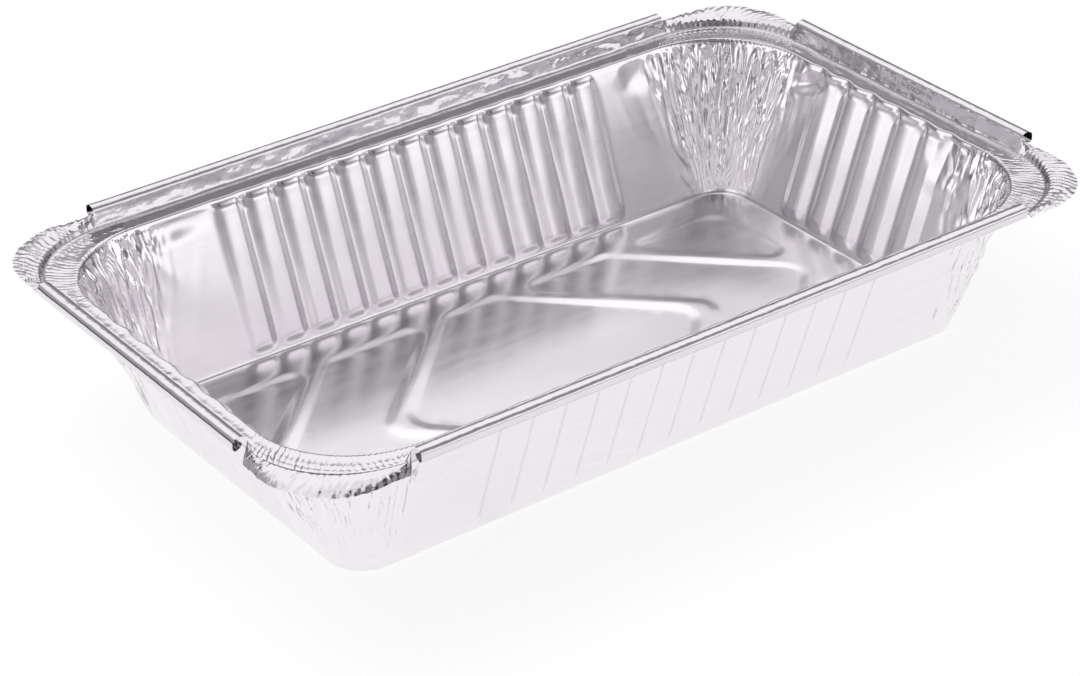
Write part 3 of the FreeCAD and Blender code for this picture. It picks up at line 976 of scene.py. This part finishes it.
@dataclass
class PanelledFloor:
    """The floor, with its seven shallow sunk panels between slanting bars."""

    sizes: TraySizes
    crumple: Crumple
    margin: float = 12 * MM
    centre_edge: float = 25.2 * MM
    tip_overshoot: float = 1.6 * MM
    bar_width: float = 2.0 * MM
    bevel: float = 3.6 * MM
    depth: float = 0.6 * MM
    radius: float = 6 * MM
    tip_radius: float = 11 * MM
    fill_step: float = 3.4 * MM
    bevel_shares: tuple[float, ...] = (-0.12, 0.07, 0.3, 0.5, 0.7, 0.93, 1.12)
    wave_depth: float = 0.14 * MM
    edge_clearance: float = 1.4 * MM
    bevel_clearance: float = 1.5 * MM
    well_clearance: float = 1.6 * MM
    seed: int = 11

    def panels(self) -> list[PanelOutline]:
        """Return the outlines: a middle panel, two arrows and four corner panels.

        Returns:
            The seven outlines.
        """
        half_x = self.sizes.length / 2 - self.sizes.floor_inset - self.margin
        half_y = self.sizes.width / 2 - self.sizes.floor_inset - self.margin
        bar = self.bar_width / 2 * math.sqrt(2)
        inner, outer = half_y + self.centre_edge / 2, half_x + self.tip_overshoot
        r, t = self.radius, self.tip_radius
        tip, top = inner - bar, inner - bar - half_y
        panels = [PanelOutline(((tip, 0), (top, half_y), (-top, half_y), (-tip, 0),
                                (-top, -half_y), (top, -half_y)), (t, r, r, t, r, r))]
        low, high = inner + bar, outer - bar
        arrow = ((high, 0), (high - half_y, half_y), (low - half_y, half_y), (low, 0),
                 (low - half_y, -half_y), (high - half_y, -half_y))
        for sign in (1, -1):
            panels.append(PanelOutline(tuple((sign * x, sign * y) for x, y in arrow),
                                       (t, r, r, r, r, r)))
        edge = outer + bar
        corner = ((edge - half_y, half_y), (half_x, edge - half_x), (half_x, half_y))
        for sign_x, sign_y in ((1, 1), (-1, 1), (-1, -1), (1, -1)):
            mirrored = tuple((sign_x * x, sign_y * y) for x, y in corner)
            flip = 1 if sign_x * sign_y > 0 else -1
            panels.append(PanelOutline(mirrored[::flip], (r, r, t)[::flip]))
        return panels

    def add_to(self, sheet: SheetMesh, edge: Array) -> None:
        """Fill the floor inside its edge, along the panels' bevels.

        Args:
            sheet: The sheet to add to.
            edge: Places of the wall's lowest level, counter-clockwise.
        """
        points = [edge]
        links = [self.loop(0, len(edge))]
        start = len(edge)
        panels = self.panels()
        for panel in panels:
            for share in self.bevel_shares:
                ring = panel.ring(share * self.bevel)
                z = np.full((len(ring), 1), self.sizes.floor_z - self.depth * ramp(share))
                points.append(np.concatenate([ring, z], 1))
                links.append(self.loop(start, len(ring)))
                start += len(ring)
        points.append(self.fill(panels))
        joined = np.concatenate(points)
        joined[len(edge):, 2] += self.waviness(joined[len(edge):])
        plan = [Vector(point) for point in joined[:, :2].tolist()]
        made = delaunay_2d_cdt(plan, np.concatenate(links).tolist(), [], 0, 1e-7)
        source = np.array([numbers[0] if numbers else -1 for numbers in made[3]])
        faces = source[np.array(made[2])]
        faces = faces[(faces >= 0).all(1)]
        faces = np.concatenate([faces, np.full((len(faces), 1), -1)], 1)
        flat = joined * (1.0, 1.0, 0.0)
        sheet.add(joined, flat, np.zeros(joined.shape), faces)
        LOG.info("floor: %d panels, %d faces", len(panels), len(faces))

    def loop(self, start: int, count: int) -> Array:
        """Return the links of a closed ring of points."""
        here = np.arange(count)
        return np.stack([here, (here + 1) % count], -1) + start

    def waviness(self, points: Array) -> Array:
        """Return the slight unevenness of the floor, none at its edge.

        Args:
            points: Places on the floor.

        Returns:
            The rise at each place.
        """
        half = np.array([self.sizes.length, self.sizes.width]) / 2 - self.sizes.floor_inset
        from_edge = np.min(half - np.abs(points[:, :2]), axis=1)
        rough = self.crumple.soft(points[:, 0] / (31 * MM), points[:, 1] / (23 * MM)) - 0.5
        return self.wave_depth * rough * blend(2 * MM, 16 * MM, from_edge)

    def fill(self, panels: Sequence[PanelOutline]) -> Array:
        """Return the points between the outlines, at an uneven spacing.

        Args:
            panels: The panels' outlines.

        Returns:
            Places on the floor and in the panels' wells.
        """
        half = np.array([self.sizes.length, self.sizes.width]) / 2 - self.sizes.floor_inset
        step = self.fill_step
        x, y = np.meshgrid(np.arange(-half[0], half[0], step),
                           np.arange(-half[1], half[1], step * 0.87))
        x = x + (np.arange(x.shape[0])[:, None] % 2) * step / 2
        shift = np.random.default_rng(self.seed).uniform(-0.22, 0.22, (2,) + x.shape) * step
        points = np.stack([(x + shift[0]).ravel(), (y + shift[1]).ravel()], -1)
        corner = half - self.sizes.floor_radius
        over = np.maximum(np.abs(points) - corner, 0)
        keep = np.hypot(over[:, 0], over[:, 1]) < self.sizes.floor_radius - self.edge_clearance
        z = np.full(len(points), self.sizes.floor_z)
        for panel in panels:
            near = inside(points, panel.ring(-self.bevel_clearance))
            well_in = inside(points, panel.ring(self.bevel + self.well_clearance))
            keep &= ~near | well_in
            z[well_in] = self.sizes.floor_z - self.depth
        return np.concatenate([points, z[:, None]], 1)[keep]


def inside(points: Array, ring: Array) -> Array:
    """Return which points lie inside a closed ring.

    Args:
        points: Plan places.
        ring: The ring's points, in order.

    Returns:
        Whether each place lies inside.
    """
    found = np.zeros(len(points), dtype=bool)
    for (x0, y0), (x1, y1) in zip(ring, np.roll(ring, -1, axis=0)):
        spans = (points[:, 1] < y0) != (points[:, 1] < y1)
        if y0 != y1:
            cross = x0 + (points[:, 1] - y0) * (x1 - x0) / (y1 - y0)
            found ^= spans & (points[:, 0] < cross)
    return found


class Signal:
    """One value in a material's nodes, with the operators of plain arithmetic."""

    def __init__(self, recipe: Recipe, socket: bpy.types.NodeSocket) -> None:
        """Keep the recipe that the value belongs to, and its socket."""
        self.recipe = recipe
        self.socket = socket

    def math(self, operation: str, *others: Signal | float, swap: bool = False) -> Signal:
        """Add a Math node over this value and others.

        Args:
            operation: The node's operation.
            others: The other values.
            swap: Whether this value comes last instead of first.

        Returns:
            The node's value.
        """
        terms = [self, *others]
        if swap:
            terms.reverse()
        node = self.recipe.node("ShaderNodeMath", {"operation": operation}, dict(enumerate(terms)))
        return Signal(self.recipe, node.outputs[0])

    def __add__(self, other: Signal | float) -> Signal:
        """Return the sum."""
        return self.math("ADD", other)

    def __sub__(self, other: Signal | float) -> Signal:
        """Return the difference."""
        return self.math("SUBTRACT", other)

    def __rsub__(self, other: float) -> Signal:
        """Return a number less this value."""
        return self.math("SUBTRACT", other, swap=True)

    def __mul__(self, other: Signal | float) -> Signal:
        """Return the product."""
        return self.math("MULTIPLY", other)

    __radd__ = __add__
    __rmul__ = __mul__

    def ridge(self) -> Signal:
        """Return sharp ridges at 1 from a value between 0 and 1."""
        return 1.0 - (self * 2.0 - 1.0).math("ABSOLUTE")

    def step(self, low: float, high: float) -> Signal:
        """Return a smooth step of this value.

        Args:
            low: Value up to which the step is 0.
            high: Value from which it is 1.

        Returns:
            The step.
        """
        node = self.recipe.node("ShaderNodeMapRange", {"interpolation_type": "SMOOTHSTEP"},
                                {"Value": self, "From Min": low, "From Max": high})
        return Signal(self.recipe, node.outputs["Result"])


class Recipe:
    """The nodes of one material or world."""

    def __init__(self, tree: bpy.types.NodeTree) -> None:
        """Start from an empty tree."""
        self.tree = tree
        tree.nodes.clear()

    def node(self, kind: str, settings: dict | None = None,
             sockets: dict | None = None) -> bpy.types.Node:
        """Add a node.

        Args:
            kind: Type of the node.
            settings: Its settings, which are set before its sockets.
            sockets: Values, signals or sockets for its inputs, by name or number.

        Returns:
            The node.
        """
        node = self.tree.nodes.new(kind)
        for name, value in (settings or {}).items():
            setattr(node, name, value)
        for name, value in (sockets or {}).items():
            if isinstance(value, Signal):
                value = value.socket
            if isinstance(value, bpy.types.NodeSocket):
                self.tree.links.new(value, node.inputs[name])
            else:
                node.inputs[name].default_value = value
        return node

    def attribute(self, name: str) -> bpy.types.NodeSocket:
        """Return the vector that the mesh keeps under a name."""
        return self.node("ShaderNodeAttribute", {"attribute_name": name}).outputs["Vector"]

    def stretched(self, vector: bpy.types.NodeSocket,
                  scale: Sequence[float]) -> bpy.types.NodeSocket:
        """Return a vector times a scale for each axis.

        Args:
            vector: The vector.
            scale: The scale along X, Y and Z.

        Returns:
            The scaled vector.
        """
        node = self.node("ShaderNodeVectorMath", {"operation": "MULTIPLY"},
                         {0: vector, 1: tuple(scale)})
        return node.outputs[0]

    def noise(self, vector: bpy.types.NodeSocket, scale: Sequence[float],
              detail: float = 2.0) -> Signal:
        """Return uneven values between about 0 and 1.

        Args:
            vector: Place to take each value at.
            scale: Steps for each metre, by axis.
            detail: How much finer unevenness is added.

        Returns:
            The values.
        """
        node = self.node("ShaderNodeTexNoise", {"noise_dimensions": "3D"},
                         {"Vector": self.stretched(vector, scale), "Scale": 1.0, "Detail": detail})
        return Signal(self, node.outputs[0])

    def mix(self, share: Signal, low: bpy.types.NodeSocket | Sequence[float],
            high: Sequence[float]) -> bpy.types.NodeSocket:
        """Return a colour between two, by a share."""
        node = self.node("ShaderNodeMix", {"data_type": "RGBA"}, {0: share, 6: low, 7: high})
        return node.outputs[2]


@dataclass(frozen=True)
class PolishedFoil:
    """Bright rolled aluminium foil, faintly streaked along the roll and uneven to the touch, with
    painted shade darkening its rim.
    """

    dull: tuple[float, float, float, float] = (0.905, 0.878, 0.906, 1.0)
    bright: tuple[float, float, float, float] = (0.93, 0.903, 0.932, 1.0)
    # Colour of the ledge, flange, hem and crimped corners: painted shade, darker than the foil
    # itself.
    rim_painted_shade: tuple[float, float, float, float] = (0.77, 0.742, 0.775, 1.0)
    roughness: float = 0.21
    roughness_spread: float = 0.05
    pleat_shine: float = 0.09
    rim_shine: float = 0.11

    def material(self) -> bpy.types.Material:
        """Return the material.

        Returns:
            The material, named polished_foil.
        """
        material = bpy.data.materials.new("polished_foil")
        material.use_nodes = True
        recipe = Recipe(material.node_tree)
        flat, fan = recipe.attribute("sheet"), recipe.attribute("fan")
        parts = recipe.node("ShaderNodeSeparateXYZ", {}, {0: fan})
        gathered = Signal(recipe, parts.outputs[2])
        rim = Signal(recipe, recipe.node("ShaderNodeSeparateXYZ", {}, {0: flat}).outputs[2])
        streaks = recipe.noise(flat, (14.0, 1200.0, 0.0), 3.0)
        smears = recipe.noise(flat, (30.0, 190.0, 0.0), 2.0)
        swell = recipe.noise(flat, (34.0, 40.0, 0.0), 1.0)
        ripple = recipe.noise(flat, (95.0, 110.0, 0.0), 2.0)
        mottle = recipe.noise(flat, (170.0, 200.0, 0.0), 2.0)
        creases = recipe.noise(fan, (420.0, 34.0, 1.0), 2.0).ridge()
        crush = recipe.noise(fan, (230.0, 90.0, 1.0), 2.0).ridge()
        height = (swell * (0.05 * MM) + ripple * (0.012 * MM) + streaks * (0.00005 * MM)
                  + smears * (0.0005 * MM) + rim * mottle * (0.26 * MM)
                  + gathered * (creases * (0.07 * MM) + crush * (0.06 * MM)))
        bump = recipe.node("ShaderNodeBump", {}, {"Strength": 1.0, "Distance": 1.0,
                                                  "Height": height})
        tint = recipe.mix(streaks.step(0.25, 0.75), self.dull, self.bright)
        # Over the rim (ledge, flange, hem and crimped corners) the colour goes to a darker grey:
        # painted shade.
        tint = recipe.mix(rim, tint, self.rim_painted_shade)
        rough = self.roughness + smears.step(0.3, 0.7) * self.roughness_spread
        shine = (gathered * self.pleat_shine).math("MAXIMUM", rim * self.rim_shine)
        shader = recipe.node("ShaderNodeBsdfPrincipled", {}, {
            "Base Color": tint, "Metallic": 1.0, "Roughness": rough - shine,
            "Normal": bump.outputs[0]})
        recipe.node("ShaderNodeOutputMaterial", {}, {0: shader.outputs[0]})
        return material


@dataclass
class FoilTray:
    """The whole tray, one sheet of foil."""

    sizes: TraySizes = field(default_factory=TraySizes)
    foil: PolishedFoil = field(default_factory=PolishedFoil)
    long_ribs: RibRow = RibRow(13, 12.5 * MM)
    short_ribs: RibRow = RibRow(5, 14.0 * MM, width=13.0 * MM, slope=3.9 * MM, radius=4.4 * MM)
    seed: int = 7
    dents: tuple[Dent, ...] = (
        Dent(Side.RIGHT, -37 * MM, 53 * MM, 12 * MM, 13 * MM, 2.0 * MM, 0.1),
        Dent(Side.RIGHT, -38 * MM, 38 * MM, 12 * MM, 5 * MM, -0.4 * MM, 0.2),
        Dent(Side.RIGHT, 38 * MM, 50 * MM, 14 * MM, 4.5 * MM, 1.7 * MM, -0.35),
        Dent(Side.RIGHT, 40 * MM, 43 * MM, 14 * MM, 5 * MM, -0.8 * MM, -0.4),
        Dent(Side.BACK, 99 * MM, 50 * MM, 13 * MM, 8 * MM, 0.8 * MM, 0.35),
        Dent(Side.BACK, -97 * MM, 53 * MM, 18 * MM, 7 * MM, 1.2 * MM, 0.05),
        Dent(Side.BACK, -105 * MM, 42 * MM, 12 * MM, 3.4 * MM, -0.5 * MM, -0.95),
        Dent(Side.LEFT, 30 * MM, 49 * MM, 10 * MM, 4.5 * MM, 1.2 * MM, 0.2),
        Dent(Side.FRONT, 92 * MM, 47 * MM, 13 * MM, 5 * MM, 1.1 * MM, -0.3),
    )

    def ribs(self) -> dict[Side, RibRow]:
        """Return the row of ribs on each side."""
        return {Side.BACK: self.long_ribs, Side.LEFT: self.short_ribs,
                Side.FRONT: self.long_ribs, Side.RIGHT: self.short_ribs}

    def build(self) -> bpy.types.Object:
        """Build the sheet, dress it, and set it in the solid's place.

        Returns:
            The tray's one piece.
        """
        crumple = Crumple(self.seed)
        stations = Stations(self.sizes, self.ribs())
        sheet = SheetMesh()
        basin = Basin(self.sizes, stations, self.ribs(), self.dents, crumple)
        points, flat, _ = basin.add_to(sheet)
        Hem(self.sizes, stations, crumple).add_to(sheet, points[-1], flat[-1])
        CrimpedCorner(self.sizes, stations, crumple).add_to(sheet, points[-1], flat[-1])
        PanelledFloor(self.sizes, crumple).add_to(sheet, points[0])
        piece = sheet.build("pressed_foil")
        piece.data.materials.append(self.foil.material())
        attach(piece, "root")
        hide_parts("foil_tray")
        triangles = sum(len(face.vertices) - 2 for face in piece.data.polygons)
        LOG.info("%s: %d triangles", piece.name, triangles)
        return piece


@dataclass
class Studio:
    """A pale floor, a soft lamp, a plain world, and the photograph's camera."""

    floor_size: float = 8.0
    lamp_power: float = 5.0
    lamp_place: tuple[float, float, float] = (-0.35, 0.55, 1.35)
    azimuth: float = -34.98
    elevation: float = 30.11
    roll: float = -1.98
    target: tuple[float, float, float] = (-54.6 * MM, -68.6 * MM, 62 * MM)
    distance: float = 989.1 * MM
    focal_pixels: float = 3218.7
    image_width: float = 1080.0
    sensor: float = 36.0
    lamp_size: tuple[float, float] = (1.1, 0.7)
    # Reach over which the floor, as the foil mirrors it, turns from a glow to a painted dark
    # reflection.
    reflected_glow_edge: tuple[float, float] = (0.42, 0.62)
    floor_glow: float = 1.16
    floor_share: float = 0.7
    room_dim: tuple[float, float, float, float] = (0.80, 0.88, 1.0, 1.0)
    room_lit: tuple[float, float, float, float] = (1.0, 0.985, 1.0, 1.0)
    dim_strength: float = 0.05
    lit_strength: float = 1.16
    even_strength: float = 0.62
    full: float = 1.06
    behind_drop: float = 0.70
    beside_drop: float = 0.72
    left_drop: float = 0.70
    overhead_drop: float = 0.84
    zenith_drop: float = 0.20
    drape_depth: float = 0.12

    def build(self) -> None:
        """Build the floor, lamp, world and camera."""
        self.floor()
        self.lamp()
        self.world()
        self.camera()

    def floor(self) -> None:
        """Lay the floor that the tray stands on."""
        half = self.floor_size / 2
        mesh = bpy.data.meshes.new("studio_floor")
        mesh.from_pydata([(-half, -half, 0), (half, -half, 0), (half, half, 0), (-half, half, 0)],
                         [], [(0, 1, 2, 3)])
        floor = bpy.data.objects.new("studio_floor", mesh)
        bpy.context.scene.collection.objects.link(floor)
        material = bpy.data.materials.new("pale_floor")
        material.use_nodes = True
        recipe = Recipe(material.node_tree)
        path = recipe.node("ShaderNodeLightPath")
        seen = Signal(recipe, path.outputs["Is Camera Ray"])
        mirrored = Signal(recipe, path.outputs["Is Glossy Ray"])
        passed = Signal(recipe, path.outputs["Is Transmission Ray"])
        place = recipe.node("ShaderNodeTexCoord").outputs["Object"]
        reach = Signal(recipe, recipe.node("ShaderNodeVectorMath", {"operation": "LENGTH"},
                                           {0: place}).outputs["Value"])
        # As seen in the foil, the floor glows near the tray and turns dark grey past this reach: a
        # painted reflection, not the floor's own colour.
        table = 1.0 - reach.step(*self.reflected_glow_edge)
        shown = seen.math("MAXIMUM", passed).math("MAXIMUM", mirrored * table)
        tint = recipe.mix(mirrored * (1.0 - table), (0.86, 0.86, 0.87, 1),
                          (0.16, 0.16, 0.18, 1))
        plain = recipe.node("ShaderNodeBsdfPrincipled", {}, {
            "Base Color": tint, "Roughness": 1.0, "Specular IOR Level": 0.0})
        glow = recipe.node("ShaderNodeEmission", {}, {"Color": (1, 1, 1, 1),
                                                         "Strength": self.floor_glow})
        mixed = recipe.node("ShaderNodeMixShader", {}, {
            0: shown * self.floor_share, 1: plain.outputs[0], 2: glow.outputs[0]})
        recipe.node("ShaderNodeOutputMaterial", {}, {0: mixed.outputs[0]})
        mesh.materials.append(material)

    def lamp(self) -> None:
        """Hang one broad soft lamp above and behind the tray."""
        light = bpy.data.lights.new("softbox", "AREA")
        light.shape = "RECTANGLE"
        light.size, light.size_y = self.lamp_size
        light.energy = self.lamp_power
        lamp = bpy.data.objects.new("softbox", light)
        lamp.location = self.lamp_place
        lamp.rotation_euler = (-Vector(self.lamp_place)).to_track_quat("-Z", "Y").to_euler()
        lamp.visible_glossy = False
        bpy.context.scene.collection.objects.link(lamp)

    def world(self) -> None:
        """Set a white background, and a plain studio round it for what mirrors it."""
        world = bpy.data.worlds.new("studio")
        bpy.context.scene.world = world
        world.use_nodes = True
        recipe = Recipe(world.node_tree)
        path = recipe.node("ShaderNodeLightPath")
        mirrored = Signal(recipe, path.outputs["Is Glossy Ray"])
        seen = Signal(recipe, path.outputs["Is Camera Ray"])
        dim = self.light(recipe, self.room_dim, self.dim_strength)
        lit = self.light(recipe, self.room_lit, self.lit_strength)
        even = self.light(recipe, self.room_lit, self.even_strength)
        white = self.light(recipe, (1.0, 1.0, 1.0, 1.0), 1.0)
        room = self.mixed(recipe, self.brightness(recipe), dim, lit)
        unseen = self.mixed(recipe, mirrored, even, room)
        shown = self.mixed(recipe, seen, unseen, white)
        recipe.node("ShaderNodeOutputWorld", {}, {0: shown})

    def light(self, recipe: Recipe, colour: Sequence[float],
              strength: float) -> bpy.types.NodeSocket:
        """Return the light of an even sky."""
        node = recipe.node("ShaderNodeBackground", {}, {"Color": colour, "Strength": strength})
        return node.outputs[0]

    def mixed(self, recipe: Recipe, share: Signal, low: bpy.types.NodeSocket,
              high: bpy.types.NodeSocket) -> bpy.types.NodeSocket:
        """Return the light between two, by a share."""
        return recipe.node("ShaderNodeMixShader", {}, {0: share, 1: low, 2: high}).outputs[0]

    def brightness(self, recipe: Recipe) -> Signal:
        """Return how bright the room is in each direction, from 0 to 1.

        Beyond the tray hangs a grey band, dark near the horizon, under a bright ceiling. Behind
        the camera the room is dark, and so is the ceiling there and to the left. The ceiling is
        a little dimmer straight above.

        Args:
            recipe: The world's nodes.

        Returns:
            The brightness.
        """
        direction = recipe.node("ShaderNodeTexCoord").outputs["Generated"]
        parts = recipe.node("ShaderNodeSeparateXYZ", {}, {0: direction})
        x, y, z = (Signal(recipe, parts.outputs[number]) for number in range(3))
        beyond = (x * 0.574 + y * 0.819).step(-0.05, 0.20)
        behind = (x * -0.500 + y * -0.866).step(0.60, 0.82) * (1.0 - z.step(0.18, 0.30))
        turned = (x * -0.670 + y * -0.742).math("DIVIDE", (1.0 - z * z).math("SQRT"))
        beside = turned.step(0.90, 0.97) * z.step(0.05, 0.20) * (1.0 - z.step(0.66, 0.80))
        near = self.full - behind * self.behind_drop
        near = near * (0.62 + z.step(-0.04, 0.05) * 0.38)
        far = 0.03 + z.step(0.14, 0.26) * 0.27
        left = (1.0 - x.step(-0.30, -0.05)) * (1.0 - z.step(0.80, 0.93))
        overhead = (z * 0.6 - y).step(0.52, 0.70)
        shade = (left * self.left_drop).math("MAXIMUM", overhead * self.overhead_drop)
        above = self.full - shade
        above = above - z.step(0.86, 0.97) * self.zenith_drop
        low = near + (far - near) * beyond
        drapes = recipe.noise(direction, (2.6, 2.6, 1.1), 1.0).step(0.35, 0.65)
        ceiling = z.step(0.43, 0.58)
        room = low + (above - low) * ceiling + drapes * self.drape_depth - self.drape_depth / 2
        return room * (1.0 - beside * self.beside_drop)

    def camera(self) -> None:
        """Set the camera at the photograph's angle, distance and lens."""
        lens = bpy.data.cameras.new("camera")
        lens.sensor_width = self.sensor
        lens.lens = self.focal_pixels / self.image_width * self.sensor
        lens.clip_end = 20.0
        camera = bpy.data.objects.new("camera", lens)
        turn, tilt = math.radians(self.azimuth), math.radians(self.elevation)
        lean = math.radians(self.roll)
        back = Vector((math.sin(turn) * math.cos(tilt), -math.cos(turn) * math.cos(tilt),
                       math.sin(tilt)))
        level = Vector((math.cos(turn), math.sin(turn), 0))
        upright = back.cross(level)
        right = math.cos(lean) * level + math.sin(lean) * upright
        above = -math.sin(lean) * level + math.cos(lean) * upright
        place = Vector(self.target) + back * self.distance
        camera.matrix_world = Matrix((
            (right.x, above.x, back.x, place.x), (right.y, above.y, back.y, place.y),
            (right.z, above.z, back.z, place.z), (0, 0, 0, 1)))
        bpy.context.scene.collection.objects.link(camera)
        bpy.context.scene.camera = camera


def main() -> None:
    """Build the tray and its studio."""
    logging.basicConfig(level=logging.INFO)
    scene = bpy.context.scene
    scene.view_settings.view_transform = "Standard"
    FoilTray().build()
    Studio().build()
    LOG.info("done")


if __name__ == "__main__":
    main()
